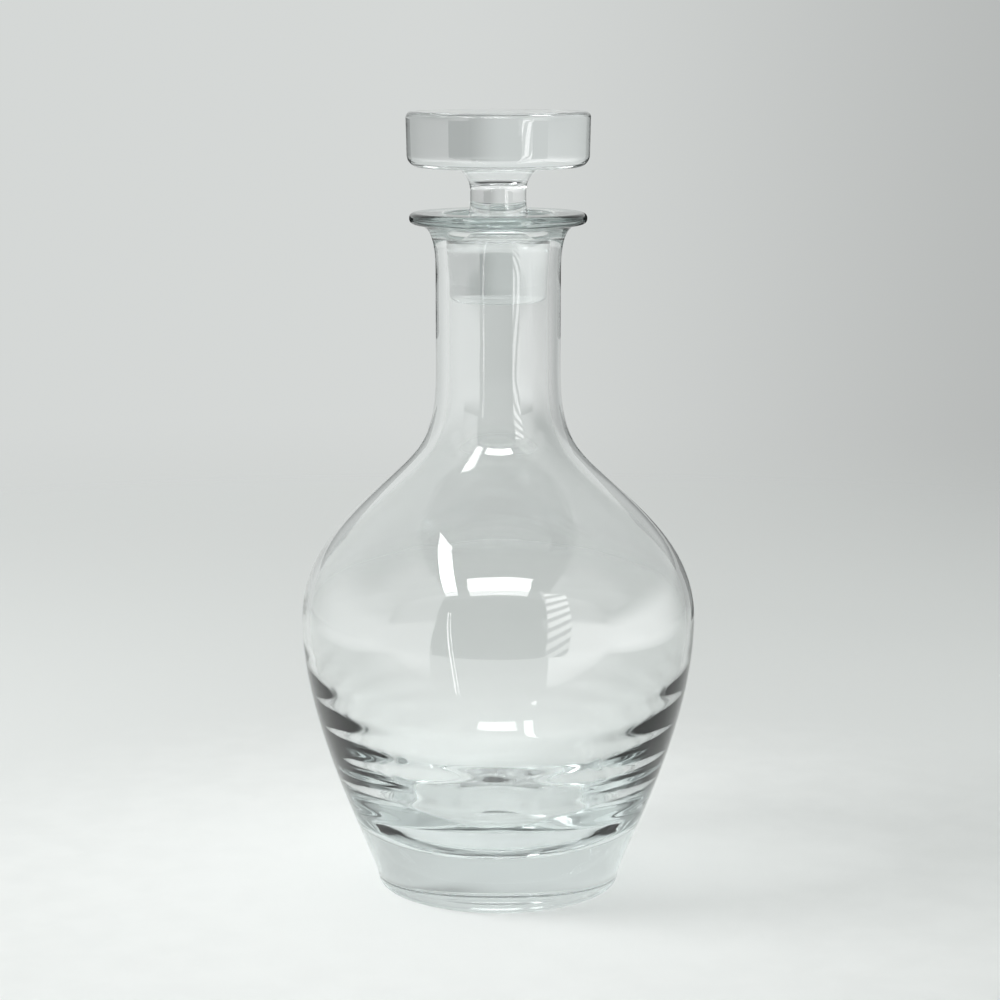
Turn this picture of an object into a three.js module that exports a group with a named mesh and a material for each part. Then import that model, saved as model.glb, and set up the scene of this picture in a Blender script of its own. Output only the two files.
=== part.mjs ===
// A whisky decanter of clear glass: a round bottle with a heavy base, a long neck and a flat lip, closed by a
// stopper with a disc head, a slim stem and a tapered plug that rests in the ground mouth of the neck.
// Millimetres, +Z up. The origin is the centre of the flat ring that the decanter stands on.
// Both pieces are solids of revolution. An outline is a list of points whose x is the radius and whose y is the
// height, and a "pull" is the length of a curve's handle at that end: a longer pull gives a fuller curve.

import * as THREE from "three";

// Facets
const TURN_STEPS = 60;
const CORNER_STEPS = 3;

// Foot: a polished ring round a small shallow dish, where the blowing iron's mark was ground away
const FOOT_RADIUS = 39.1;
const FOOT_EDGE_ROUND = 1.6;
const FOOT_WALL_LEAN = 8;
const FOOT_PULL = 8.8;
const DISH_RADIUS = 13;
const DISH_DEPTH = 0.8;

// Belly: the widest place of the bottle
const BELLY_RADIUS = 63.5;
const BELLY_HEIGHT = 87.5;
const BELLY_PULL_DOWN = 36;
const BELLY_PULL_UP = 20;
const BELLY_WALL = 2.6;

// Hollow below the belly: its side narrows to the turn, where it starts to round into the floor over the thick base
const BASE_THICKNESS = 18;
const TURN_RADIUS = 43.5;
const TURN_HEIGHT = 36;
const TURN_LEAN = 29;
const HOLLOW_SIDE_PULL = 19;
const TURN_PULL_UP = 24;
const TURN_PULL_DOWN = 14;
const HOLLOW_FLOOR_PULL = 24;

// Shoulder: the place where the round body turns into the sweep of the neck
const SHOULDER_RADIUS = 37;
const SHOULDER_RISE = 44;
const SHOULDER_SLOPE = 43;
const SHOULDER_PULL_OUT = 17.7;
const SHOULDER_PULL_IN = 15.4;

// Neck: a straight tube that flares a little under the lip
const NECK_RADIUS = 19.9;
const NECK_WALL = 4.1;
const NECK_RISE = 37.2;
const NECK_PULL = 23.5;
const NECK_STRAIGHT = 30.3;
const FLARE_HEIGHT = 15.7;
const FLARE_PULL = 10;

// Lip: a flat collar with a round edge
const LIP_OVERHANG = 8.3;
const LIP_THICKNESS = 3.7;
const LIP_EDGE_ROUND = 1.7;
const LIP_PULL = 5.4;

// Mouth: the tapered seat that is ground into the neck, and the rounded edge above it
const SEAT_LENGTH = 16.7;
const SEAT_TAPER = 0.06;
const SEAT_BELOW_LIP = 6.5;
const MOUTH_ROUND = 1.2;

// Stopper
const STOPPER_CLEARANCE = 0.3;
const PLUG_LENGTH = 21.5;
const PLUG_LOWER_ROUND = 2.5;
const PLUG_UPPER_ROUND = 0.8;
const STEM_RADIUS = 8.85;
const STEM_LENGTH = 20.7;
const STEM_FOOT_SPREAD = 6;
const STEM_FOOT_HEIGHT = 8;
const STEM_HEAD_SPREAD = 6.5;
const STEM_HEAD_HEIGHT = 4.6;
const HEAD_RADIUS = 29.2;
const HEAD_LOWER_RADIUS = 28.8;
const HEAD_THICKNESS = 17.4;
const HEAD_UPPER_ROUND = 1.9;
const HEAD_LOWER_ROUND = 3.9;

// Heights and radii that follow from the sizes above
const shoulderHeight = BELLY_HEIGHT + SHOULDER_RISE;
const neckHeight = shoulderHeight + NECK_RISE;
const flareHeight = neckHeight + NECK_STRAIGHT;
const lipUnderside = flareHeight + FLARE_HEIGHT;
const lipTop = lipUnderside + LIP_THICKNESS;
const lipRadius = NECK_RADIUS + LIP_OVERHANG;
const boreRadius = NECK_RADIUS - NECK_WALL;
const seatTop = lipTop - SEAT_BELOW_LIP;
const seatTopRadius = boreRadius + SEAT_LENGTH * SEAT_TAPER;
const plugTopRadius = seatTopRadius - STOPPER_CLEARANCE;
const plugBottom = seatTop - PLUG_LENGTH;
const plugBottomRadius = plugTopRadius - PLUG_LENGTH * SEAT_TAPER;
const stemFootSpread = Math.min(STEM_FOOT_SPREAD, plugTopRadius - PLUG_UPPER_ROUND - STEM_RADIUS);
const headUnderside = seatTop + STEM_LENGTH;
const headTop = headUnderside + HEAD_THICKNESS;

const point = (radius, height) => new THREE.Vector2(radius, height);
const radians = THREE.MathUtils.degToRad;

// A point at the given distance from another, in a direction given in degrees above outward.
function along(start, degrees, distance) {
  const angle = radians(degrees);
  return point(start.x + distance * Math.cos(angle), start.y + distance * Math.sin(angle));
}

// The arc that rounds a corner between two straight sides, from the first side to the second.
function roundCorner(before, corner, after, radius, steps = CORNER_STEPS) {
  const backward = before.clone().sub(corner).normalize();
  const forward = after.clone().sub(corner).normalize();
  const halfAngle = Math.acos(backward.dot(forward)) / 2;
  const setback = radius / Math.tan(halfAngle);
  const bisector = backward.clone().add(forward).normalize();
  const centre = corner.clone().addScaledVector(bisector, radius / Math.sin(halfAngle));
  const start = corner.clone().addScaledVector(backward, setback).sub(centre).angle();
  const end = corner.clone().addScaledVector(forward, setback).sub(centre).angle();
  const turn = Math.atan2(Math.sin(end - start), Math.cos(end - start));
  const arc = [];
  for (let i = 0; i <= steps; i += 1) {
    const angle = start + (turn * i) / steps;
    arc.push(point(centre.x + radius * Math.cos(angle), centre.y + radius * Math.sin(angle)));
  }
  return arc;
}

// A quarter of an ellipse, between two of its ends given in degrees round its centre.
function quarterEllipse(centre, halfWidth, halfHeight, fromDegrees, toDegrees, steps) {
  const clockwise = toDegrees < fromDegrees;
  const curve = new THREE.EllipseCurve(
    centre.x, centre.y, halfWidth, halfHeight, radians(fromDegrees), radians(toDegrees), clockwise,
  );
  return curve.getPoints(steps);
}

// The bottle's outer wall, from the foot's edge to the start of the straight neck, as three curves.
function outerCurves() {
  const footWall = along(point(FOOT_RADIUS, 0), 90 - FOOT_WALL_LEAN, FOOT_EDGE_ROUND);
  const belly = point(BELLY_RADIUS, BELLY_HEIGHT);
  const shoulder = point(SHOULDER_RADIUS, shoulderHeight);
  const neck = point(NECK_RADIUS, neckHeight);
  const lower = new THREE.CubicBezierCurve(
    footWall,
    along(footWall, 90 - FOOT_WALL_LEAN, FOOT_PULL),
    along(belly, -90, BELLY_PULL_DOWN),
    belly,
  );
  const upper = new THREE.CubicBezierCurve(
    belly,
    along(belly, 90, BELLY_PULL_UP),
    along(shoulder, -SHOULDER_SLOPE, SHOULDER_PULL_OUT),
    shoulder,
  );
  const sweep = new THREE.CubicBezierCurve(
    shoulder,
    along(shoulder, 180 - SHOULDER_SLOPE, SHOULDER_PULL_IN),
    along(neck, -90, NECK_PULL),
    neck,
  );
  return { lower, upper, sweep };
}

// The inside of the body above the belly: it lies one wall behind the outside. That wall thickens smoothly from the
// belly's to the neck's, without a crease at either end that would show as a line through the glass.
function innerShoulder(upper, sweep, steps) {
  const total = upper.getLength() + sweep.getLength();
  const inside = [];
  for (const [curve, before] of [[upper, 0], [sweep, upper.getLength()]]) {
    for (let i = 0; i <= steps; i += 1) {
      const share = (before + (curve.getLength() * i) / steps) / total;
      const wall = THREE.MathUtils.lerp(BELLY_WALL, NECK_WALL, THREE.MathUtils.smoothstep(share, 0, 1));
      const tangent = curve.getTangentAt(i / steps);
      const inward = point(-tangent.y, tangent.x);
      inside.push(curve.getPointAt(i / steps).addScaledVector(inward, wall));
    }
  }
  return inside;
}

// The inside of the body below the belly, down to the axis.
function innerBase(sideSteps, floorSteps) {
  const belly = point(BELLY_RADIUS - BELLY_WALL, BELLY_HEIGHT);
  const turn = point(TURN_RADIUS, TURN_HEIGHT);
  const side = new THREE.CubicBezierCurve(
    belly,
    along(belly, -90, HOLLOW_SIDE_PULL),
    along(turn, 90 - TURN_LEAN, TURN_PULL_UP),
    turn,
  );
  const floor = new THREE.CubicBezierCurve(
    turn,
    along(turn, -90 - TURN_LEAN, TURN_PULL_DOWN),
    point(HOLLOW_FLOOR_PULL, BASE_THICKNESS),
    point(0, BASE_THICKNESS),
  );
  return [...side.getSpacedPoints(sideSteps), ...floor.getSpacedPoints(floorSteps)];
}

// The dish under the base, a shallow piece of a sphere, from the axis out to the standing ring.
function dish(steps) {
  const sphere = (DISH_RADIUS ** 2 + DISH_DEPTH ** 2) / (2 * DISH_DEPTH);
  const centre = point(0, DISH_DEPTH - sphere);
  const edge = Math.asin(DISH_RADIUS / sphere);
  const arc = [];
  for (let i = 0; i <= steps; i += 1) {
    const angle = (edge * i) / steps;
    arc.push(point(sphere * Math.sin(angle), centre.y + sphere * Math.cos(angle)));
  }
  return arc;
}

// The lip and the flare under it, from the straight neck to the top of the seat.
function lipOutline() {
  const neck = point(NECK_RADIUS, flareHeight);
  const lowerCorner = point(lipRadius, lipUnderside);
  const upperCorner = point(lipRadius, lipTop);
  const mouthCorner = point(seatTopRadius + SEAT_BELOW_LIP * SEAT_TAPER, lipTop);
  const underside = point(lipRadius - LIP_EDGE_ROUND, lipUnderside);
  const flare = new THREE.CubicBezierCurve(
    neck,
    along(neck, 90, FLARE_PULL),
    along(underside, 180, LIP_PULL),
    underside,
  );
  return [
    ...flare.getPoints(7),
    ...roundCorner(underside, lowerCorner, upperCorner, LIP_EDGE_ROUND),
    ...roundCorner(lowerCorner, upperCorner, mouthCorner, LIP_EDGE_ROUND),
    ...roundCorner(upperCorner, mouthCorner, point(seatTopRadius, seatTop), MOUTH_ROUND),
  ];
}

function bottleOutline() {
  const { lower, upper, sweep } = outerCurves();
  const footCorner = point(FOOT_RADIUS, 0);
  return [
    ...dish(3),
    ...roundCorner(point(DISH_RADIUS, 0), footCorner, lower.getPoint(0), FOOT_EDGE_ROUND),
    ...lower.getSpacedPoints(9),
    ...upper.getSpacedPoints(8),
    ...sweep.getSpacedPoints(6),
    ...lipOutline(),
    point(seatTopRadius, seatTop),
    point(boreRadius, seatTop - SEAT_LENGTH),
    ...innerShoulder(upper, sweep, 7).reverse(),
    ...innerBase(6, 7),
  ];
}

function stopperOutline() {
  const plugLowerCorner = point(plugBottomRadius, plugBottom);
  const plugUpperCorner = point(plugTopRadius, seatTop);
  const headLowerCorner = point(HEAD_LOWER_RADIUS, headUnderside);
  const headUpperCorner = point(HEAD_RADIUS, headTop);
  const stemFoot = quarterEllipse(
    point(STEM_RADIUS + stemFootSpread, seatTop + STEM_FOOT_HEIGHT),
    stemFootSpread, STEM_FOOT_HEIGHT, -90, -180, 6,
  );
  const stemHead = quarterEllipse(
    point(STEM_RADIUS + STEM_HEAD_SPREAD, headUnderside - STEM_HEAD_HEIGHT),
    STEM_HEAD_SPREAD, STEM_HEAD_HEIGHT, 180, 90, 5,
  );
  return [
    point(0, plugBottom),
    ...roundCorner(point(0, plugBottom), plugLowerCorner, plugUpperCorner, PLUG_LOWER_ROUND),
    ...roundCorner(plugLowerCorner, plugUpperCorner, stemFoot[0], PLUG_UPPER_ROUND),
    ...stemFoot,
    ...stemHead,
    ...roundCorner(stemHead.at(-1), headLowerCorner, headUpperCorner, HEAD_LOWER_ROUND, 6),
    ...roundCorner(headLowerCorner, headUpperCorner, point(0, headTop), HEAD_UPPER_ROUND),
    point(0, headTop),
  ];
}

// Turns an outline round the Z axis. Points that two curves share are kept once.
function revolve(outline) {
  const shortest = 0.01;
  const points = outline.filter((p, i) => i === 0 || p.distanceTo(outline[i - 1]) > shortest);
  points[0].x = 0;
  points.at(-1).x = 0;
  return new THREE.LatheGeometry(points, TURN_STEPS).rotateX(Math.PI / 2);
}

function clearGlass(colour) {
  return new THREE.MeshStandardMaterial({
    color: colour,
    roughness: 0.03,
    metalness: 0,
    transparent: true,
    opacity: 0.35,
  });
}

const bottle = new THREE.Mesh(revolve(bottleOutline()), clearGlass(0xdfe9e6));
bottle.name = "bottle";

const stopper = new THREE.Mesh(revolve(stopperOutline()), clearGlass(0xe4e6e6));
stopper.name = "stopper";

const decanter = new THREE.Group();
decanter.add(bottle, stopper);

export default decanter;
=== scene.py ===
# %% [markdown]
# # A decanter of clear glass
#
# This lesson dresses a whisky decanter: a round bottle with a heavy base, and a stopper with a disc head
# that stands in the bottle's ground mouth. Clear glass has hardly any colour of its own. What the eye
# reads as glass is the bent picture of the room, so the work goes into true outlines, a light tint in the
# depth of the glass, and surroundings that are worth reflecting.
#
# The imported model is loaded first. It fixes the sizes and says which body each piece moves with.

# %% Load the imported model
import math

import bmesh
import bpy
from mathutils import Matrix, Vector


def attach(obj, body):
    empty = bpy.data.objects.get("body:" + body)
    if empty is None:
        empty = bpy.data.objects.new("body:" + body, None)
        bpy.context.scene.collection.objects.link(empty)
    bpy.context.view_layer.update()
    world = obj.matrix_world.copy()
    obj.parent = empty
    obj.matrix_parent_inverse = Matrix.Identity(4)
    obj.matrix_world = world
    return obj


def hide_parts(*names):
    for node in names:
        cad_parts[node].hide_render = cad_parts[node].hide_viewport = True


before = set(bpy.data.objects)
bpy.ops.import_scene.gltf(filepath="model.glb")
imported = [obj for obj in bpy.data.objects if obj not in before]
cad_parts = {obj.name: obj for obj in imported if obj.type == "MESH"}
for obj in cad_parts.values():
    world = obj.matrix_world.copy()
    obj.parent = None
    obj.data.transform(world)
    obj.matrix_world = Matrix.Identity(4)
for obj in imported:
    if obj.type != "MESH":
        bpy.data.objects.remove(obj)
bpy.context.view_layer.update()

# %% [markdown]
# ## The camera
#
# The photograph was taken from a little above the decanter, from close by, with a normal lens. The camera
# comes first, so that every later step can be looked at from the photographer's place. Its distance,
# height and tilt come from the outline of the foot, the belly and the disc.

# %% Camera
MM = 0.001
CAMERA_DISTANCE = 831.4 * MM
CAMERA_HEIGHT = 271.9 * MM
CAMERA_TILT = math.radians(9.952)
SENSOR = 36.0
FOCAL_SHARE = 2.6194
FRAME_SHIFT = 0.0018

bpy.ops.object.select_all(action="DESELECT")
bpy.ops.object.camera_add(
    location=(0, -CAMERA_DISTANCE, CAMERA_HEIGHT), rotation=(math.radians(90) - CAMERA_TILT, 0, 0)
)
camera = bpy.context.object
camera.name = "photo_camera"
camera.data.sensor_width = SENSOR
camera.data.lens = FOCAL_SHARE * SENSOR
camera.data.shift_x = FRAME_SHIFT
camera.data.clip_start = 0.01
bpy.context.scene.camera = camera
print("camera lens", round(camera.data.lens, 1), "mm")

# %% [markdown]
# ## Drawing an outline
#
# Both pieces are round, so each one is an outline turned about the Z axis. A glassblower shapes the
# bottle on a turning iron in just this way. The outline could be a chain of short straight edges, but
# glass shows every kink, so it is drawn as strokes instead: a stroke is a Bezier curve between two
# anchors, and its two pulls say how far it runs straight on at each end. The number at the end of a
# stroke says into how many short edges it is cut. Sizes are in millimetres, x is the radius and y is the
# height.

# %% Points and strokes
def place(radius, height):
    return Vector((radius, height))


def along(start, degrees, distance):
    """The point at this distance from start, in a direction given in degrees above outward."""
    angle = math.radians(degrees)
    return start + distance * Vector((math.cos(angle), math.sin(angle)))


def straight(start, end, steps):
    """A straight stroke. Its handles stay on its anchors, so its points crowd towards both ends."""
    return (start, start, end, end, steps)


def rounding(before, corner, after, radius, steps):
    """The stroke that rounds a corner between two straight sides."""
    backward = (before - corner).normalized()
    forward = (after - corner).normalized()
    half_angle = backward.angle(forward) / 2
    setback = radius / math.tan(half_angle)
    turn = math.pi - 2 * half_angle
    pull = 4 / 3 * math.tan(turn / 4) * radius
    start, end = corner + setback * backward, corner + setback * forward
    return (start, start - pull * backward, end - pull * forward, end, steps)


def chain(strokes):
    """Joins strokes into one outline, with a straight stroke wherever two of them leave a gap."""
    outline = []
    for stroke in strokes:
        if outline and (stroke[0] - outline[-1][3]).length > 0.001:
            outline.append(straight(outline[-1][3], stroke[0], GAP_STEPS))
        outline.append(stroke)
    return outline


GAP_STEPS = 6
quarter_turn = rounding(place(0, 1), place(0, 0), place(1, 0), 1, 4)
print("a quarter turn of radius 1 is pulled by", round(quarter_turn[0].y - quarter_turn[1].y, 3))

# %% [markdown]
# ## The bottle's outline
#
# The outline starts on the axis under the base, runs out over the small ground dish and the standing
# ring, up the outside to the lip, and back down the inside to the axis. The glass is 18 mm thick under
# the hollow and under 3 mm at the belly. That change is what makes the base sparkle, so the inside has
# its own strokes and is not a plain offset of the outside.

# %% Sizes of the bottle
FOOT_RADIUS, FOOT_EDGE_ROUND, FOOT_WALL_LEAN, FOOT_PULL = 39.1, 1.6, 8, 8.8
DISH_RADIUS, DISH_DEPTH = 13, 0.8
BELLY_RADIUS, BELLY_HEIGHT, BELLY_PULL_DOWN, BELLY_PULL_UP, BELLY_WALL = 63.5, 87.5, 36, 20, 2.6
SHOULDER_RADIUS, SHOULDER_RISE, SHOULDER_SLOPE = 37, 44, 43
SHOULDER_PULL_OUT, SHOULDER_PULL_IN = 17.7, 15.4
NECK_RADIUS, NECK_WALL, NECK_RISE, NECK_PULL, NECK_STRAIGHT = 19.9, 4.1, 37.2, 23.5, 30.3
FLARE_HEIGHT, FLARE_PULL = 15.7, 10
LIP_OVERHANG, LIP_THICKNESS, LIP_EDGE_ROUND, LIP_PULL = 8.3, 3.7, 1.7, 5.4
SEAT_LENGTH, SEAT_TAPER, SEAT_BELOW_LIP, MOUTH_ROUND = 16.7, 0.06, 6.5, 1.2
BASE_THICKNESS = 18
TURN_RADIUS, TURN_HEIGHT, TURN_LEAN, TURN_PULL_UP, TURN_PULL_DOWN = 43.5, 36, 29, 24, 14
HOLLOW_SIDE_PULL, HOLLOW_FLOOR_PULL = 19, 24
INNER_SHOULDER_RADIUS, INNER_SHOULDER_HEIGHT, INNER_SHOULDER_SLOPE = 34.1, 129.4, 41.8
INNER_BELLY_PULL, INNER_SHOULDER_PULL_OUT, INNER_SHOULDER_PULL_IN, INNER_NECK_PULL = 19.6, 16.1, 14.5, 25.0

neck_height = BELLY_HEIGHT + SHOULDER_RISE + NECK_RISE
flare_height = neck_height + NECK_STRAIGHT
lip_underside = flare_height + FLARE_HEIGHT
lip_top = lip_underside + LIP_THICKNESS
lip_radius = NECK_RADIUS + LIP_OVERHANG
bore_radius = NECK_RADIUS - NECK_WALL
seat_top = lip_top - SEAT_BELOW_LIP
seat_top_radius = bore_radius + SEAT_LENGTH * SEAT_TAPER
print("the bottle is", round(lip_top, 1), "mm high and", 2 * BELLY_RADIUS, "mm across")


# %% Outline of the bottle
def bottle_outside():
    dish_sphere = (DISH_RADIUS**2 + DISH_DEPTH**2) / (2 * DISH_DEPTH)
    dish_edge = math.asin(DISH_RADIUS / dish_sphere)
    dish_pull = 4 / 3 * math.tan(dish_edge / 4) * dish_sphere
    dish_middle, ring_start = place(0, DISH_DEPTH), place(DISH_RADIUS, 0)
    foot_corner = place(FOOT_RADIUS, 0)
    foot_wall = along(foot_corner, 90 - FOOT_WALL_LEAN, FOOT_EDGE_ROUND)
    belly = place(BELLY_RADIUS, BELLY_HEIGHT)
    shoulder = place(SHOULDER_RADIUS, BELLY_HEIGHT + SHOULDER_RISE)
    neck, flare = place(NECK_RADIUS, neck_height), place(NECK_RADIUS, flare_height)
    edge_below = place(lip_radius - LIP_EDGE_ROUND, lip_underside)
    lower_corner, upper_corner = place(lip_radius, lip_underside), place(lip_radius, lip_top)
    mouth_corner = place(seat_top_radius + SEAT_BELOW_LIP * SEAT_TAPER, lip_top)
    return [
        (dish_middle, dish_middle + place(dish_pull, 0),
         along(ring_start, 180 - math.degrees(dish_edge), dish_pull), ring_start, 12),
        rounding(ring_start, foot_corner, foot_wall, FOOT_EDGE_ROUND, 8),
        (foot_wall, along(foot_wall, 90 - FOOT_WALL_LEAN, FOOT_PULL),
         along(belly, -90, BELLY_PULL_DOWN), belly, 40),
        (belly, along(belly, 90, BELLY_PULL_UP),
         along(shoulder, -SHOULDER_SLOPE, SHOULDER_PULL_OUT), shoulder, 30),
        (shoulder, along(shoulder, 180 - SHOULDER_SLOPE, SHOULDER_PULL_IN),
         along(neck, -90, NECK_PULL), neck, 26),
        (flare, along(flare, 90, FLARE_PULL), along(edge_below, 180, LIP_PULL), edge_below, 16),
        rounding(edge_below, lower_corner, upper_corner, LIP_EDGE_ROUND, 7),
        rounding(lower_corner, upper_corner, mouth_corner, LIP_EDGE_ROUND, 7),
        rounding(upper_corner, mouth_corner, place(seat_top_radius, seat_top), MOUTH_ROUND, 8),
    ]


def bottle_inside():
    neck = place(bore_radius, neck_height)
    shoulder = place(INNER_SHOULDER_RADIUS, INNER_SHOULDER_HEIGHT)
    belly = place(BELLY_RADIUS - BELLY_WALL, BELLY_HEIGHT)
    turn = place(TURN_RADIUS, TURN_HEIGHT)
    return [
        straight(place(seat_top_radius, seat_top), place(bore_radius, seat_top - SEAT_LENGTH), 6),
        (neck, along(neck, -90, INNER_NECK_PULL),
         along(shoulder, 180 - INNER_SHOULDER_SLOPE, INNER_SHOULDER_PULL_IN), shoulder, 24),
        (shoulder, along(shoulder, -INNER_SHOULDER_SLOPE, INNER_SHOULDER_PULL_OUT),
         along(belly, 90, INNER_BELLY_PULL), belly, 26),
        (belly, along(belly, -90, HOLLOW_SIDE_PULL), along(turn, 90 - TURN_LEAN, TURN_PULL_UP), turn, 64),
        (turn, along(turn, -90 - TURN_LEAN, TURN_PULL_DOWN),
         place(HOLLOW_FLOOR_PULL, BASE_THICKNESS), place(0, BASE_THICKNESS), 52),
    ]


bottle_outline = chain(bottle_outside() + bottle_inside())
print("the bottle's outline has", len(bottle_outline), "strokes and",
      sum(stroke[4] for stroke in bottle_outline), "steps")

# %% [markdown]
# ## The stopper's outline
#
# The stopper is one solid piece of glass: a plug that tapers like the seat, a slim stem to hold between
# two fingers, and a thick disc. The disc's edges are rounded by polishing, the upper one less than the
# lower one. The fillets at both ends of the stem are drawn up to 3 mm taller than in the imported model,
# because in the photograph they nearly meet. They are what bends the picture in the stem into flat
# ellipses.

# %% Sizes and outline of the stopper
STOPPER_CLEARANCE, PLUG_LENGTH, PLUG_LOWER_ROUND, PLUG_UPPER_ROUND = 0.3, 21.5, 2.5, 0.8
STEM_RADIUS, STEM_LENGTH = 8.85, 20.7
STEM_FOOT_SPREAD, STEM_FOOT_HEIGHT, STEM_HEAD_SPREAD, STEM_HEAD_HEIGHT = 6, 10.5, 6.5, 7.6
HEAD_RADIUS, HEAD_LOWER_RADIUS, HEAD_THICKNESS = 29.2, 28.8, 17.4
HEAD_UPPER_ROUND, HEAD_LOWER_ROUND = 1.9, 3.9
QUARTER_PULL = 4 / 3 * math.tan(math.pi / 8)


def stopper_strokes():
    plug_radius = seat_top_radius - STOPPER_CLEARANCE
    plug_bottom = seat_top - PLUG_LENGTH
    head_underside = seat_top + STEM_LENGTH
    head_top = head_underside + HEAD_THICKNESS
    tip = place(0, plug_bottom)
    plug_low = place(plug_radius - PLUG_LENGTH * SEAT_TAPER, plug_bottom)
    plug_high = place(plug_radius, seat_top)
    foot_out = place(STEM_RADIUS + STEM_FOOT_SPREAD, seat_top)
    foot_in = place(STEM_RADIUS, seat_top + STEM_FOOT_HEIGHT)
    head_in = place(STEM_RADIUS, head_underside - STEM_HEAD_HEIGHT)
    head_out = place(STEM_RADIUS + STEM_HEAD_SPREAD, head_underside)
    head_low, head_high = place(HEAD_LOWER_RADIUS, head_underside), place(HEAD_RADIUS, head_top)
    crown = place(0, head_top)
    return [
        rounding(tip, plug_low, plug_high, PLUG_LOWER_ROUND, 8),
        rounding(plug_low, plug_high, foot_out, PLUG_UPPER_ROUND, 6),
        (foot_out, foot_out - place(STEM_FOOT_SPREAD * QUARTER_PULL, 0),
         foot_in - place(0, STEM_FOOT_HEIGHT * QUARTER_PULL), foot_in, 16),
        (head_in, head_in + place(0, STEM_HEAD_HEIGHT * QUARTER_PULL),
         head_out - place(STEM_HEAD_SPREAD * QUARTER_PULL, 0), head_out, 14),
        rounding(head_out, head_low, head_high, HEAD_LOWER_ROUND, 10),
        rounding(head_low, head_high, crown, HEAD_UPPER_ROUND, 8),
    ], tip, crown


strokes, tip, crown = stopper_strokes()
stopper_outline = chain(
    [straight(tip, strokes[0][0], 10)] + strokes + [straight(strokes[-1][3], crown, 10)]
)
print("the stopper's outline has", len(stopper_outline), "strokes; its top is at", round(crown.y, 1), "mm")

# %% [markdown]
# ## From outline to solid
#
# Each stroke is added as a Bezier curve and given its handles. The strokes are joined, converted to a
# chain of edges, and turned round the Z axis with Spin. Where the outline meets the axis, and where the
# turn ends on its own start, the points coincide and are merged. The normals are recalculated after that,
# so that they all point out of the glass: a solid of glass bends light the right way only if it is
# closed.

# %% Draw, spin and close
TURN_STEPS = 240
MERGE_DISTANCE = 1e-6


def draw_stroke(stroke):
    start, start_handle, end_handle, end, steps = stroke
    bpy.ops.curve.primitive_bezier_curve_add(location=(0, 0, 0))
    curve = bpy.context.object
    spline = curve.data.splines[0]
    spline.resolution_u = steps
    places = [Vector((p.x * MM, 0, p.y * MM)) for p in (start, start_handle, end_handle, end)]
    for anchor, own, left, right in (
        (spline.bezier_points[0], places[0], places[0], places[1]),
        (spline.bezier_points[1], places[3], places[2], places[3]),
    ):
        anchor.handle_left_type = anchor.handle_right_type = "FREE"
        anchor.co, anchor.handle_left, anchor.handle_right = own, left, right
    return curve


def turn_outline(name, outline):
    bpy.ops.object.select_all(action="DESELECT")
    curves = [draw_stroke(stroke) for stroke in outline]
    bpy.ops.object.select_all(action="DESELECT")
    for curve in curves:
        curve.select_set(True)
        bpy.context.view_layer.objects.active = curve
        bpy.ops.object.convert(target="MESH")
        curve.select_set(False)
    for curve in curves:
        curve.select_set(True)
    bpy.ops.object.join()
    piece = bpy.context.object
    piece.name = piece.data.name = name
    bpy.ops.object.mode_set(mode="EDIT")
    bpy.ops.mesh.select_all(action="SELECT")
    bpy.ops.mesh.remove_doubles(threshold=MERGE_DISTANCE)
    bpy.ops.mesh.spin(steps=TURN_STEPS, angle=math.tau, center=(0, 0, 0), axis=(0, 0, 1))
    bpy.ops.mesh.select_all(action="SELECT")
    bpy.ops.mesh.remove_doubles(threshold=MERGE_DISTANCE)
    bpy.ops.mesh.normals_make_consistent(inside=False)
    bpy.ops.object.mode_set(mode="OBJECT")
    bpy.ops.object.shade_smooth()
    return piece


def report_solid(piece):
    """Prints the piece's size, and how many of its edges don't join exactly two faces."""
    solid = bmesh.new()
    solid.from_mesh(piece.data)
    open_edges = sum(not edge.is_manifold for edge in solid.edges)
    print(piece.name, len(solid.faces), "faces,", open_edges, "open edges,",
          round(solid.calc_volume(signed=True) / MM**3 / 1000, 1), "cubic centimetres")
    solid.free()


bottle = turn_outline("clear_bottle", bottle_outline)
report_solid(bottle)
stopper = turn_outline("clear_stopper", stopper_outline)
report_solid(stopper)

# %% [markdown]
# ## The hand of the glassblower
#
# Hand-made glass is never quite even inside: turning the soft glass against a tool leaves rings low in
# the hollow, and the wall runs a little thicker here and thinner there. Seen through centimetres of
# glass, these tenths of a millimetre are what breaks the reflections into streaks. They are real shape,
# so two Displace modifiers move the inner surface only: one lays rings round the middle of the hollow's
# floor, and one adds soft swells. A vertex group says where, and how strongly: most on the steep wall
# just above the floor, more at the left and right than in front, a little on the floor itself, and
# nothing from the belly up.

# %% Uneven inner wall
RING_SPACING, RING_DEPTH = 8.5 * MM, 0.5 * MM
RING_WANDER, WANDER_LENGTH = 2.0, 2.0
SWELL_LENGTH, SWELL_DEPTH, SWELL_STRETCH = 10 * MM, 0.08 * MM, 5.0
RING_PERIOD = math.tau / 20
UNEVEN_TOP = 0.080
UNEVEN_FADE = 0.025
FRONT_SHARE = 0.15
FLOOR_TOP, FLOOR_TOP_FADE, FLOOR_SHARE = 0.022, 0.008, 0.1
FLOOR_RING_RADIUS, FLOOR_RING_WIDTH, FLOOR_RING_SHARE = 0.013, 0.006, 0.5
FLOOR_RING_REACH = 1.3
CALM_RADIUS = 0.006


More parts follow.
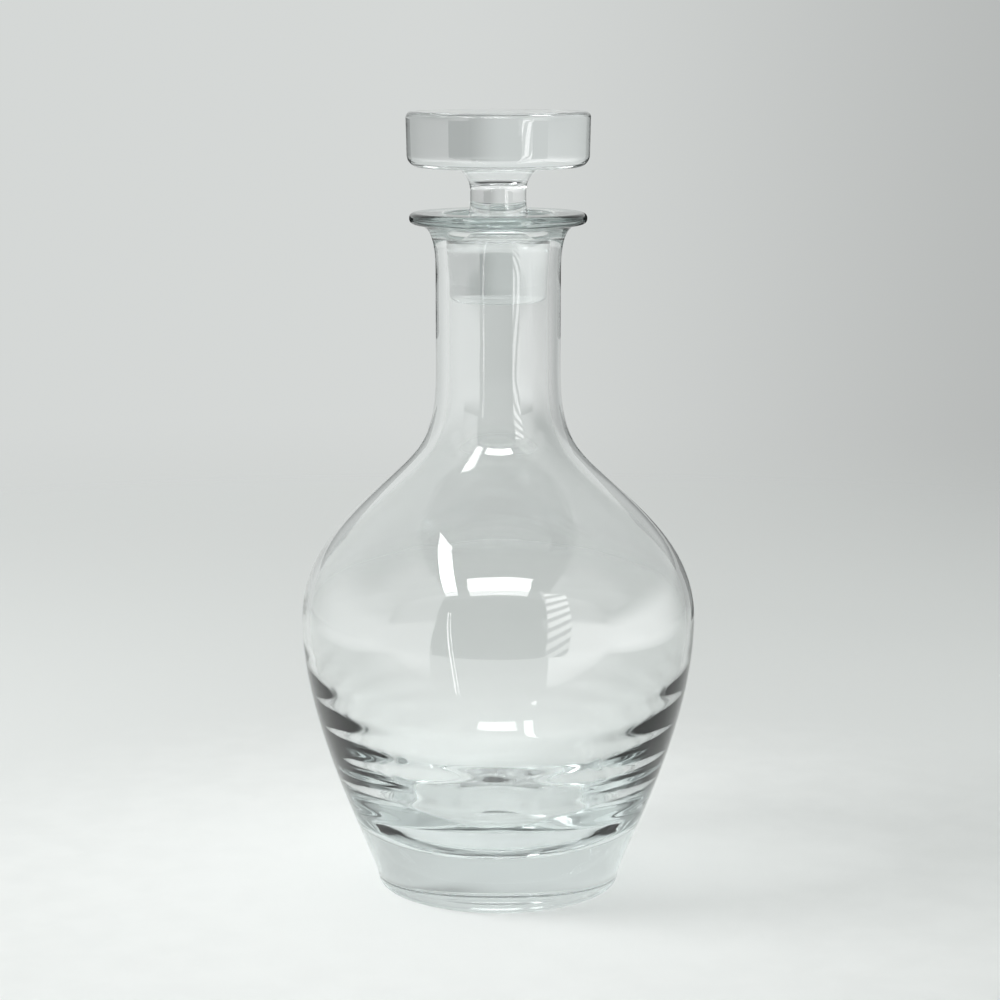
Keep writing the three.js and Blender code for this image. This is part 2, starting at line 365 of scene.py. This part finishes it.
def inner_weight(vertex):
    """How far this vertex may move: not at all outside, and less towards the belly and the axis."""
    radius, height = math.hypot(vertex.co.x, vertex.co.y), vertex.co.z
    faces_out = vertex.normal.dot(Vector((vertex.co.x, vertex.co.y, 0))) > 0
    if faces_out or height < (BASE_THICKNESS - 1) * MM:
        return 0.0
    upward = min(max((UNEVEN_TOP - height) / UNEVEN_FADE, 0.0), 1.0)
    outward = min(radius / CALM_RADIUS - 1, 1.0)
    steep = min((height - FLOOR_TOP) / FLOOR_TOP_FADE, 1.0)
    sideways = FRONT_SHARE + (1 - FRONT_SHARE) * (vertex.co.x / max(radius, MM)) ** 2
    off_ring = abs(radius - FLOOR_RING_RADIUS) / FLOOR_RING_WIDTH
    ring = FLOOR_RING_SHARE * min(FLOOR_RING_REACH - off_ring, 1.0)
    return upward * max(outward, 0.0) * max(steep * sideways, ring, FLOOR_SHARE)


def choose_inner_wall(piece):
    group = piece.vertex_groups.new(name="inner_wall")
    for vertex in piece.data.vertices:
        weight = inner_weight(vertex)
        if weight > 0:
            group.add([vertex.index], weight, "REPLACE")
    return group


def displace(piece, group, texture, centre, scale, depth):
    """Moves the points of a group in and out by a texture that is laid round this centre."""
    guide = bpy.data.objects.new("texture_guide", None)
    bpy.context.scene.collection.objects.link(guide)
    guide.location, guide.scale = centre, scale
    bpy.context.view_layer.update()
    modifier = piece.modifiers.new(texture.name, "DISPLACE")
    modifier.texture = texture
    modifier.texture_coords = "OBJECT"
    modifier.texture_coords_object = guide
    modifier.vertex_group = group.name
    modifier.strength = depth
    modifier.mid_level = 0.5
    bpy.ops.object.select_all(action="DESELECT")
    piece.select_set(True)
    bpy.context.view_layer.objects.active = piece
    bpy.ops.object.modifier_apply(modifier=modifier.name)
    bpy.data.objects.remove(guide)
    print(texture.name, "moved the inner wall by up to", round(depth / 2 / MM, 2), "mm")


rings = bpy.data.textures.new("tool_rings", "WOOD")
rings.wood_type = "RINGNOISE"
rings.turbulence = RING_WANDER
rings.noise_scale = WANDER_LENGTH
swells = bpy.data.textures.new("swells", "CLOUDS")
swells.noise_scale = SWELL_LENGTH
swells.noise_depth = 1
inner_wall = choose_inner_wall(bottle)
ring_scale = RING_SPACING / RING_PERIOD
displace(bottle, inner_wall, rings, (0, 0, BASE_THICKNESS * MM), (ring_scale,) * 3, RING_DEPTH)
displace(bottle, inner_wall, swells, (0, 0, 0), (SWELL_STRETCH, SWELL_STRETCH, 1), SWELL_DEPTH)
bottle.vertex_groups.clear()
report_solid(bottle)

# %% [markdown]
# ## Glass
#
# A Principled shader with full transmission and no roughness is clear glass. Most of its colour isn't
# painted on: real glass takes a little red out of the light on its way, so the thick base is greener than
# the thin wall. Volume absorption does that, and its colour and density are plain numbers on its own
# sockets. The base colour stands for the few per cent that are lost at every surface. The lip is seen
# along its whole width, where glass is deepest in colour and the darker room shows inside it, so a mask
# from the radius and the height paints the lip a much darker base colour: partly its depth of glass,
# partly painted shade.
#
# What changes over the surface comes from one node group, because both pieces share it: a faint waviness
# from fire polishing, which bends the reflections, and fine scratches that make the lowest 0.6 mm of each
# piece a little duller: the bottle's standing ring and the end of the stopper's plug. The group puts out a
# height and a roughness, and each material has its own values.

# %% Node helpers and the shared surface group
def add_node(tree, kind, settings=None, **inputs):
    node = tree.nodes.new(kind)
    for name, value in (settings or {}).items():
        setattr(node, name, value)
    for name, value in inputs.items():
        socket = node.inputs[name.replace("_", " ")]
        if isinstance(value, bpy.types.NodeSocket):
            tree.links.new(value, socket)
        else:
            socket.default_value = value
    return node


def combine(tree, operation, first, second):
    node = tree.nodes.new("ShaderNodeMath")
    node.operation = operation
    for socket, value in zip(node.inputs, (first, second)):
        if isinstance(value, bpy.types.NodeSocket):
            tree.links.new(value, socket)
        else:
            socket.default_value = value
    return node.outputs[0]


def fade(tree, value, start, end, low=0.0, high=1.0):
    """A smooth change from low to high while the value goes from start to end."""
    node = add_node(tree, "ShaderNodeMapRange", {"interpolation_type": "SMOOTHSTEP"}, Value=value,
                    From_Min=start, From_Max=end, To_Min=low, To_Max=high)
    return node.outputs[0]


WAVE_HEIGHT_SHARE = 2.2
SCRATCH_SCALE, SCRATCH_START, SCRATCH_FULL = 900.0, 0.5, 0.72
WORN_FADE = 0.6 * MM


def make_surface_group():
    group = bpy.data.node_groups.new("worked_glass_surface", "ShaderNodeTree")
    for name, direction, kind in (
        ("Wave Size", "INPUT", "NodeSocketFloat"),
        ("Scratch Amount", "INPUT", "NodeSocketFloat"),
        ("Worn Height", "INPUT", "NodeSocketFloat"),
        ("Height", "OUTPUT", "NodeSocketFloat"),
        ("Roughness", "OUTPUT", "NodeSocketFloat"),
    ):
        group.interface.new_socket(name=name, in_out=direction, socket_type=kind)
    given = group.nodes.new("NodeGroupInput")
    result = group.nodes.new("NodeGroupOutput")
    where = add_node(group, "ShaderNodeTexCoord").outputs["Object"]
    flattened = add_node(group, "ShaderNodeMapping", Vector=where, Scale=(1, 1, WAVE_HEIGHT_SHARE))
    waves = add_node(group, "ShaderNodeTexNoise", Vector=flattened.outputs[0],
                     Scale=given.outputs["Wave Size"], Detail=1.0, Roughness=0.4)
    group.links.new(waves.outputs[0], result.inputs["Height"])
    streaks = add_node(group, "ShaderNodeTexNoise", Vector=where, Scale=SCRATCH_SCALE, Detail=3.0,
                       Roughness=0.7)
    scratched = fade(group, streaks.outputs[0], SCRATCH_START, SCRATCH_FULL)
    height = add_node(group, "ShaderNodeSeparateXYZ", Vector=where).outputs["Z"]
    above_worn = combine(group, "SUBTRACT", height, given.outputs["Worn Height"])
    worn = fade(group, above_worn, 0.0, WORN_FADE, 1.0, 0.0)
    worn_scratches = combine(group, "MULTIPLY", worn, scratched)
    rough = combine(group, "MULTIPLY", worn_scratches, given.outputs["Scratch Amount"])
    group.links.new(rough, result.inputs["Roughness"])
    return group


surface_group = make_surface_group()
print("surface group:", [socket.name for socket in surface_group.interface.items_tree])

# %% [markdown]
# A lamp can't find its way through bent glass in a path tracer, so the floor under and behind the glass
# would stay black. Real glass passes most of the light on. For shadow rays alone, Light Path swaps the
# glass for a Transparent shader that darkens towards the edges, where real glass throws the light aside.

# %% Glass materials
BOTTLE_TINT, STOPPER_TINT = (0.945, 0.955, 0.952, 1), (0.965, 0.97, 0.97, 1)
# the lip's much darker base colour: partly depth of glass, partly painted shade of the room seen in it
LIP_TINT_AND_SHADE = (0.34, 0.41, 0.40, 1)
DEPTH_TINT = (0.40, 0.60, 0.60, 1)
LIP_RADII, LIP_HEIGHTS = (20.5 * MM, 23.5 * MM), (212.5 * MM, 214.5 * MM)
GLASS_IOR = 1.5
SHADOW_MIDDLE, SHADOW_EDGE, SHADOW_BLEND = 0.905, 0.4, 0.3


def lip_tint_and_shade_mask(tree):
    """1 on the lip, whose darker colour stands for its depth of glass and for painted shade, and 0
    elsewhere.
    """
    where = add_node(tree, "ShaderNodeTexCoord").outputs["Object"]
    parts = add_node(tree, "ShaderNodeSeparateXYZ", Vector=where)
    level = add_node(tree, "ShaderNodeCombineXYZ", X=parts.outputs["X"], Y=parts.outputs["Y"])
    radius = add_node(tree, "ShaderNodeVectorMath", {"operation": "LENGTH"}, Vector=level.outputs[0])
    outward = fade(tree, radius.outputs["Value"], *LIP_RADII)
    upward = fade(tree, parts.outputs["Z"], *LIP_HEIGHTS)
    return combine(tree, "MULTIPLY", outward, upward)


def make_glass(name, surface_tint, density, wave_size, wave_depth, scratch_amount, worn_height,
               lip_tint_and_shade=None):
    material = bpy.data.materials.new(name)
    material.use_nodes = True
    tree = material.node_tree
    tree.nodes.clear()
    surface = add_node(tree, "ShaderNodeGroup", {"node_tree": surface_group}, Wave_Size=wave_size,
                       Scratch_Amount=scratch_amount, Worn_Height=worn_height)
    bump = add_node(tree, "ShaderNodeBump", Height=surface.outputs["Height"], Distance=wave_depth)
    glass = add_node(tree, "ShaderNodeBsdfPrincipled", Base_Color=surface_tint, IOR=GLASS_IOR,
                     Roughness=surface.outputs["Roughness"], Normal=bump.outputs[0])
    glass.inputs["Transmission Weight"].default_value = 1.0
    if lip_tint_and_shade:
        # the lip gets its darker base colour here: partly depth of glass, partly painted shade
        colour = add_node(tree, "ShaderNodeMix", {"data_type": "RGBA"})
        tree.links.new(lip_tint_and_shade_mask(tree), colour.inputs[0])
        colour.inputs[6].default_value = surface_tint
        colour.inputs[7].default_value = lip_tint_and_shade
        tree.links.new(colour.outputs[2], glass.inputs["Base Color"])
    edge = add_node(tree, "ShaderNodeLayerWeight", Blend=SHADOW_BLEND).outputs["Facing"]
    passed = fade(tree, edge, 0.0, 1.0, SHADOW_MIDDLE, SHADOW_EDGE)
    clear = add_node(tree, "ShaderNodeBsdfTransparent", Color=passed)
    path = add_node(tree, "ShaderNodeLightPath")
    both = add_node(tree, "ShaderNodeMixShader")
    tree.links.new(path.outputs["Is Shadow Ray"], both.inputs[0])
    tree.links.new(glass.outputs[0], both.inputs[1])
    tree.links.new(clear.outputs[0], both.inputs[2])
    depth = add_node(tree, "ShaderNodeVolumeAbsorption", Color=DEPTH_TINT, Density=density)
    output = add_node(tree, "ShaderNodeOutputMaterial")
    tree.links.new(both.outputs[0], output.inputs["Surface"])
    tree.links.new(depth.outputs[0], output.inputs["Volume"])
    return material


bottle_glass = make_glass(
    "bottle_glass", BOTTLE_TINT, density=2.9, wave_size=26.0, wave_depth=0.22 * MM, scratch_amount=0.35,
    worn_height=0.0, lip_tint_and_shade=LIP_TINT_AND_SHADE,
)
stopper_glass = make_glass(
    "stopper_glass", STOPPER_TINT, density=2.0, wave_size=40.0, wave_depth=0.08 * MM, scratch_amount=0.12,
    worn_height=tip.y * MM,
)
for piece, material in ((bottle, bottle_glass), (stopper, stopper_glass)):
    piece.data.materials.clear()
    piece.data.materials.append(material)
    print(piece.name, "is made of", material.name)

# %% [markdown]
# ## Which body each piece moves with
#
# The fine pieces stand for the two nodes of the imported model, at the same place and size. The bottle
# rides on the bottle's body, and the stopper on its own, so that it can be lifted out.

# %% Ride and replace
for piece, body, node, slot in (
    (bottle, "bottle", "bottle", "bottle_glass"),
    (stopper, "stopper", "stopper", "stopper_glass"),
):
    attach(piece, body)
    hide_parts(node)
    print(piece.name, "rides on", body)

# %% [markdown]
# ## Floor and room
#
# Clear glass shows the room, so the room is built as a photographer's light tent. The floor's colour is
# painted brightest round the foot and a little greyer farther out: a painted pool of light. It lies a hair
# under the standing ring, as a real glass foot rests on a few high spots only, and light inside the base
# is reflected at that thin gap of air. Far out the floor fades into the world, so there is no horizon. The
# world is pale behind the decanter, darker to the right and darker still in front, where the photographer
# stands.

# %% Floor
FLOOR_GAP, FLOOR_SIZE = 0.3 * MM, 4
FLOOR_ROUGHNESS, FLOOR_SHINE = 0.9, 0.2
# painted pool of light: the floor's colour is lighter round the foot and greyer farther out, with a noisy
# edge
POOL_EDGE_SCALE, POOL_EDGE_REACH = 60.0, 0.01
FLOOR_POOL_LIGHT, FLOOR_OUTSIDE_POOL = (0.935, 0.95, 0.94, 1), (0.79, 0.805, 0.795, 1)
POOL_FULL_TO, POOL_GONE_AT = 0.05, 0.25
FLOOR_FADE_START, FLOOR_FADE_END = 0.30, 1.10


def make_floor():
    bpy.ops.object.select_all(action="DESELECT")
    bpy.ops.mesh.primitive_plane_add(size=FLOOR_SIZE, location=(0, 0, -FLOOR_GAP))
    floor = bpy.context.object
    floor.name = "floor"
    material = bpy.data.materials.new("pale_floor")
    material.use_nodes = True
    tree = material.node_tree
    paper = tree.nodes["Principled BSDF"]
    paper.inputs["Roughness"].default_value = FLOOR_ROUGHNESS
    paper.inputs["Specular IOR Level"].default_value = FLOOR_SHINE
    where = add_node(tree, "ShaderNodeTexCoord").outputs["Object"]
    length = add_node(tree, "ShaderNodeVectorMath", {"operation": "LENGTH"}, Vector=where)
    distance = length.outputs["Value"]
    pool_edge_noise = add_node(tree, "ShaderNodeTexNoise", Vector=where, Scale=POOL_EDGE_SCALE, Detail=4.0)
    wander = fade(tree, pool_edge_noise.outputs[0], 0.3, 0.7, -POOL_EDGE_REACH, POOL_EDGE_REACH)
    uneven = combine(tree, "ADD", distance, wander)
    # paints the pool of light into the floor's colour, from the foot outwards
    shade = add_node(tree, "ShaderNodeMix", {"data_type": "RGBA"})
    tree.links.new(fade(tree, uneven, POOL_FULL_TO, POOL_GONE_AT), shade.inputs[0])
    shade.inputs[6].default_value = FLOOR_POOL_LIGHT
    shade.inputs[7].default_value = FLOOR_OUTSIDE_POOL
    tree.links.new(shade.outputs[2], paper.inputs["Base Color"])
    gone = fade(tree, distance, FLOOR_FADE_START, FLOOR_FADE_END)
    clear = add_node(tree, "ShaderNodeBsdfTransparent")
    both = add_node(tree, "ShaderNodeMixShader")
    tree.links.new(gone, both.inputs[0])
    tree.links.new(paper.outputs[0], both.inputs[1])
    tree.links.new(clear.outputs[0], both.inputs[2])
    tree.links.new(both.outputs[0], tree.nodes["Material Output"].inputs["Surface"])
    floor.data.materials.append(material)
    return floor


floor = make_floor()
print("the floor lies", FLOOR_GAP / MM, "mm under the foot")

# %% [markdown]
# The world is the room beyond the floor. A direction from the middle of the room is split into its X, Y
# and Z, and each one blends two strengths: left to right, in front to behind, and low to high. Each pair
# of numbers below says where such a blend starts and ends.

# %% World
WORLD_COLOUR = (0.97, 1.0, 0.985, 1)
WORLD_LOW, WORLD_HIGH, WORLD_FRONT, WORLD_TOP = 0.685, 0.76, 0.37, 0.62
LOW_RIGHT_SHARE, HIGH_RIGHT_SHARE = 0.68, 0.85
LOW_RIGHTWARDS, HIGH_RIGHTWARDS = (-0.04, 0.26), (0.1, 0.7)
LOW_TO_HIGH, FRONT_TO_REAR, AROUND_TO_TOP = (0.03, 0.13), (-0.35, 0.35), (0.45, 0.75)


def blend(tree, share, first, second):
    """The first value where the share is 0, the second where it is 1."""
    node = add_node(tree, "ShaderNodeMapRange", Value=share, From_Min=0.0, From_Max=1.0)
    for name, value in (("To Min", first), ("To Max", second)):
        if isinstance(value, bpy.types.NodeSocket):
            tree.links.new(value, node.inputs[name])
        else:
            node.inputs[name].default_value = value
    return node.outputs[0]


def make_world():
    world = bpy.data.worlds.new("light_tent")
    bpy.context.scene.world = world
    world.use_nodes = True
    tree = world.node_tree
    light = tree.nodes["Background"]
    light.inputs["Color"].default_value = WORLD_COLOUR
    way = add_node(tree, "ShaderNodeTexCoord").outputs["Generated"]
    parts = add_node(tree, "ShaderNodeSeparateXYZ", Vector=way).outputs
    low_share = fade(tree, parts["X"], *LOW_RIGHTWARDS, 1.0, LOW_RIGHT_SHARE)
    high_share = fade(tree, parts["X"], *HIGH_RIGHTWARDS, 1.0, HIGH_RIGHT_SHARE)
    low = combine(tree, "MULTIPLY", low_share, WORLD_LOW)
    high = combine(tree, "MULTIPLY", high_share, WORLD_HIGH)
    rear = blend(tree, fade(tree, parts["Z"], *LOW_TO_HIGH), low, high)
    around = blend(tree, fade(tree, parts["Y"], *FRONT_TO_REAR), WORLD_FRONT, rear)
    strength = blend(tree, fade(tree, parts["Z"], *AROUND_TO_TOP), around, WORLD_TOP)
    tree.links.new(strength, light.inputs["Strength"])
    return world


make_world()
print("world strength low behind", WORLD_LOW, "high behind", WORLD_HIGH, "in front", WORLD_FRONT)

# %% [markdown]
# ## What the glass reflects
#
# The reflections in the photograph were traced back from the glass to the room: a dark opening that the
# camera looks in through, bright tent walls beside it, a lamp strip along the front of the ceiling and
# another along its left, a striped blind at the right of the opening, two thin bright lines at its left,
# and dark places behind that draw the shoulder's outline. Each one is a plain card that glows. The camera
# and the floor don't see the cards, only the glass does, and most cards are seen in its reflections
# alone. Sizes are in metres.
#
# A card can fade out along an axis: each entry of `clear` names the axis, where the fade starts and where
# the card is gone. So it leaves no hard edge on the glass.

# %% Reflection cards
ROOM_FRONT = -0.5
TENT_FRONT = -0.21
BEFORE_TENT, BEFORE_ROOM = TENT_FRONT + 0.01, ROOM_FRONT + 0.01
ROOM_CEILING = 0.53
HIGH_FRONT = ROOM_FRONT - 0.002
TENT_SIDE, TENT_REAR, TENT_TOP = 0.40, 0.35, 0.19
LINE_TOP = 0.19
LEFT_GLOW, RIGHT_GLOW = 4.0, 5.8
BLIND_LEAN, SLAT_WAVER, SLAT_EDGES, SLAT_GAP_GLOW = math.radians(28), 0.6, (0.25, 0.55), 0.25
BLIND_DIM_HEIGHTS, BLIND_DIM_SHARE = (0.0, 0.25), 0.4
SHADE_LEFT, SHADE_RIGHT = ((-0.30, 0.35), (-0.10, 0.43)), ((0.30, 0.35), (0.08, 0.44))
SHADE_LOW_RIGHT = ((0.245, 0.377), (0.10, 0.44))
TENT_UP, TENT_DOWN = ("Z", 0.15, 0.19), ("Z", 0.04, -0.03)
LEFT_TOP, RIGHT_TOP = 0.36, 0.24
LEFT_UP, RIGHT_UP = ("Z", 0.12, LEFT_TOP), ("Z", 0.12, RIGHT_TOP)


def make_card(name, corners, strength, seen_through=False, stripes=0, clear=()):
    """A glowing quadrilateral. Unless it is seen through the glass, only reflections show it."""
    bpy.ops.object.select_all(action="DESELECT")
    bpy.ops.mesh.primitive_plane_add(size=1)
    card = bpy.context.object
    card.name = name
    order = sorted(card.data.vertices, key=lambda v: math.atan2(v.co.y, v.co.x))
    for vertex, corner in zip(order, corners):
        vertex.co = corner
    material = bpy.data.materials.new(name)
    material.use_nodes = True
    tree = material.node_tree
    tree.nodes.clear()
    glow = add_node(tree, "ShaderNodeEmission", Color=(1, 1, 1, 1), Strength=strength)
    where = add_node(tree, "ShaderNodeTexCoord").outputs["Object"]
    parts = add_node(tree, "ShaderNodeSeparateXYZ", Vector=where).outputs
    if stripes:
        slanted = add_node(tree, "ShaderNodeMapping", Vector=where, Rotation=(0, BLIND_LEAN, 0))
        bands = add_node(tree, "ShaderNodeTexWave", {"bands_direction": "Z"}, Vector=slanted.outputs[0],
                         Scale=stripes, Distortion=SLAT_WAVER)
        slats = fade(tree, bands.outputs[1], *SLAT_EDGES, SLAT_GAP_GLOW, 1.0)
        upward = fade(tree, parts["Z"], *BLIND_DIM_HEIGHTS, BLIND_DIM_SHARE, 1.0)
        lit = combine(tree, "MULTIPLY", slats, upward)
        tree.links.new(combine(tree, "MULTIPLY", lit, strength), glow.inputs["Strength"])
    kept = 1.0
    for axis, start, end in clear:
        kept = combine(tree, "MULTIPLY", kept, fade(tree, parts[axis], start, end, 1.0, 0.0))
    open_air = add_node(tree, "ShaderNodeBsdfTransparent")
    both = add_node(tree, "ShaderNodeMixShader")
    if clear:
        tree.links.new(kept, both.inputs[0])
    else:
        both.inputs[0].default_value = 1.0
    tree.links.new(open_air.outputs[0], both.inputs[1])
    tree.links.new(glow.outputs[0], both.inputs[2])
    output = add_node(tree, "ShaderNodeOutputMaterial")
    tree.links.new(both.outputs[0], output.inputs["Surface"])
    card.data.materials.append(material)
    card.visible_camera = card.visible_diffuse = card.visible_shadow = False
    card.visible_transmission = seen_through
    return card


def wall(first, second, low, high):
    """Corners of an upright card over the line between two places on the floor."""
    return [(*first, low), (*second, low), (*second, high), (*first, high)]


def across(foot, head, low, high, depth):
    """Corners of a card across the view, from its left and right ends at its foot and at its head."""
    return [(foot[0], depth, low), (foot[1], depth, low), (head[1], depth, high), (head[0], depth, high)]


def flat(left, right, near, far, height):
    """Corners of a card that lies level, such as a lamp strip on the ceiling."""
    return [(left, near, height), (right, near, height), (right, far, height), (left, far, height)]


left_front, left_rear = (-TENT_SIDE, TENT_FRONT), (-TENT_SIDE, TENT_REAR)
right_front, right_rear = (TENT_SIDE, TENT_FRONT), (TENT_SIDE, TENT_REAR)
rearwards = ("Y", TENT_FRONT, TENT_REAR)
cards = [
    make_card("opening", wall((-0.365, ROOM_FRONT), (0.285, ROOM_FRONT), -0.005, 0.52), 0.05),
    make_card("dark_ceiling", flat(-0.36, 0.36, -0.50, 0.15, 0.63), 0.08, seen_through=True),
    make_card("tent_left", across((-TENT_SIDE, -0.150), (-TENT_SIDE, -0.130), 0.0, TENT_TOP, TENT_FRONT),
              LEFT_GLOW, clear=(TENT_UP, TENT_DOWN)),
    make_card("tent_right", across((0.095, TENT_SIDE), (0.100, TENT_SIDE), 0.0, TENT_TOP, TENT_FRONT),
              RIGHT_GLOW, clear=(TENT_UP, TENT_DOWN)),
    make_card("side_left", wall(left_front, left_rear, 0.0, LEFT_TOP), LEFT_GLOW,
              clear=(LEFT_UP, TENT_DOWN, rearwards)),
    make_card("side_right", wall(right_front, right_rear, 0.0, RIGHT_TOP), RIGHT_GLOW,
              clear=(RIGHT_UP, TENT_DOWN, rearwards)),
    make_card("floor_glow", flat(-0.9, 0.9, -0.9, -0.06, 0.002), 2.2, clear=(("Y", -0.20, -0.06),)),
    make_card("high_left", wall((-1.5, HIGH_FRONT), (-0.365, HIGH_FRONT), 0.245, 1.1), 2.6,
              clear=(("X", -0.6, -1.5),)),
    make_card("high_right", wall((0.285, HIGH_FRONT), (1.5, HIGH_FRONT), 0.245, 1.1), 2.6,
              clear=(("X", 0.6, 1.5),)),
    make_card("ceiling_left", flat(-1.5, -0.30, -0.50, 0.05, 0.62), 1.9,
              clear=(("X", -0.45, -0.30), ("Y", -0.25, 0.05))),
    make_card("ceiling_right", flat(0.30, 1.5, -0.50, 0.05, 0.62), 1.5,
              clear=(("X", 0.50, 0.30), ("Y", -0.25, 0.05))),
    make_card("rear_shade_right", wall(*SHADE_RIGHT, 0.13, 0.28), 0.02),
    make_card("rear_shade_low", wall(*SHADE_LOW_RIGHT, 0.0, 0.10), 0.05),
    make_card("rear_shade_left", wall(*SHADE_LEFT, 0.13, 0.24), 0.02),
    make_card("ceiling_strip", flat(-0.147, 0.164, -0.42, -0.31, ROOM_CEILING), 14, seen_through=True),
    make_card("side_strip", [(-0.305, -0.40, ROOM_CEILING), (-0.218, -0.40, ROOM_CEILING),
                             (-0.170, -0.12, ROOM_CEILING), (-0.215, -0.04, ROOM_CEILING)], 12,
              seen_through=True),
    make_card("blind", [(0.081, BEFORE_TENT, 0.062), (0.134, BEFORE_TENT, 0.053),
                        (0.186, BEFORE_TENT, 0.289), (0.109, BEFORE_TENT, 0.267)], 8, stripes=13),
    make_card("far_blind", across((0.222, 0.300), (0.222, 0.320), 0.20, 0.30, BEFORE_ROOM), 1.8,
              stripes=78),
    make_card("bright_line", across((-0.080, -0.077), (-0.103, -0.100), 0.0, LINE_TOP, BEFORE_TENT), 11),
    make_card("second_line", across((-0.073, -0.071), (-0.096, -0.094), 0.0, LINE_TOP, BEFORE_TENT), 9),
]
print("cards:", [card.name for card in cards])

# %% [markdown]
# ## The lamp
#
# One large soft lamp stands at the upper left, as in the photograph, where the floor is brightest at the
# left and the shadow falls to the right. Glass and its reflections don't show the lamp itself.

# %% Lamp
LAMP_PLACE = Vector((-1.0, -0.25, 0.9))
LAMP_AIM = Vector((0, 0, 0.1))
LAMP_SIZE = 0.7
LAMP_POWER = 9.6

bpy.ops.object.select_all(action="DESELECT")
bpy.ops.object.light_add(type="AREA", location=LAMP_PLACE)
lamp = bpy.context.object
lamp.name = "soft_lamp"
lamp.data.shape = "DISK"
lamp.data.size = LAMP_SIZE
lamp.data.energy = LAMP_POWER
lamp.rotation_euler = (LAMP_AIM - LAMP_PLACE).to_track_quat("-Z", "Y").to_euler()
lamp.visible_glossy = lamp.visible_transmission = False
print("lamp power", LAMP_POWER, "W")

# %% [markdown]
# ## Last settings
#
# Light enters and leaves the two walls of the bottle many times, so it needs more bounces than usual. The
# view transform is Standard, which shows colours as they are written.

# %% Finish
scene = bpy.context.scene
scene.view_settings.view_transform = "Standard"
scene.cycles.max_bounces = 24
scene.cycles.transmission_bounces = 24
scene.cycles.glossy_bounces = 8
scene.cycles.transparent_max_bounces = 16
